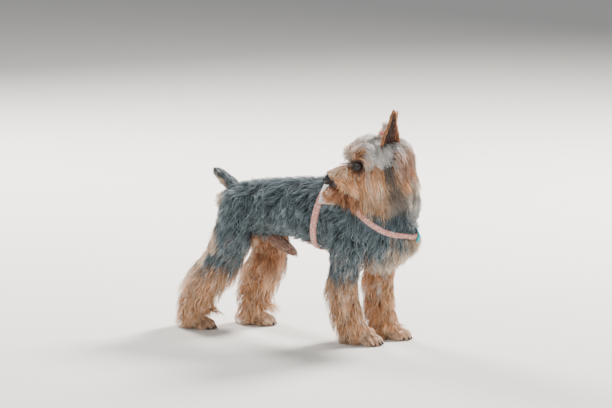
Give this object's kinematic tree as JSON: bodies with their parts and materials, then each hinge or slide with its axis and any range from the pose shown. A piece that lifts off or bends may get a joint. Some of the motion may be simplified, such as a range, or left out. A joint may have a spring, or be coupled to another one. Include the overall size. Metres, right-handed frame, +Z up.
{
  "type": "yorkshire terrier model",
  "caption": "Life-size still model of a small long-coated terrier standing and looking back over its right shoulder, with a slim harness",
  "frame": {"origin": "middle of the foot of the whole box, on the floor", "axes": "+X towards the chest, +Y to the animal's left, +Z up"},
  "size_m": [0.3448, 0.1228, 0.3091],
  "materials": {
    "coat_blue": "dark steel-blue hair, wavy, soft and slightly glossy, with silver tips",
    "coat_tan": "orange-tan hair, soft, darker at the roots and pale at the tips",
    "coat_head": "silver-grey crown hair over tan cheeks and beard",
    "nose_leather": "black pebbled nose skin, slightly moist",
    "eye": "glossy dark brown eye",
    "tie": "red elastic band",
    "strap": null,
    "pad": "pale soft fabric",
    "buckle": "turquoise moulded plastic"
  },
  "bodies": {
    "root": {"head": "coat_head", "jaw": "coat_tan", "nose": "nose_leather", "ear_left": "coat_tan", "ear_right": "coat_tan", "topknot": "coat_head", "eye_left": "eye", "eye_right": "eye", "hair_tie": "tie", "girth_strap": "strap", "neck_strap": "strap", "back_pad": "pad", "buckle": "buckle", "neck": "coat_blue", "chest": "coat_blue", "loin": "coat_blue", "tail": "coat_blue", "fore_right": "coat_tan", "fore_left": "coat_tan", "paw_fore_right": "coat_tan", "paw_fore_left": "coat_tan", "thigh_right": "coat_blue", "thigh_left": "coat_blue", "shank_right": "coat_tan", "shank_left": "coat_tan", "paw_hind_right": "coat_tan", "paw_hind_left": "coat_tan"}
  },
  "joints": []
}
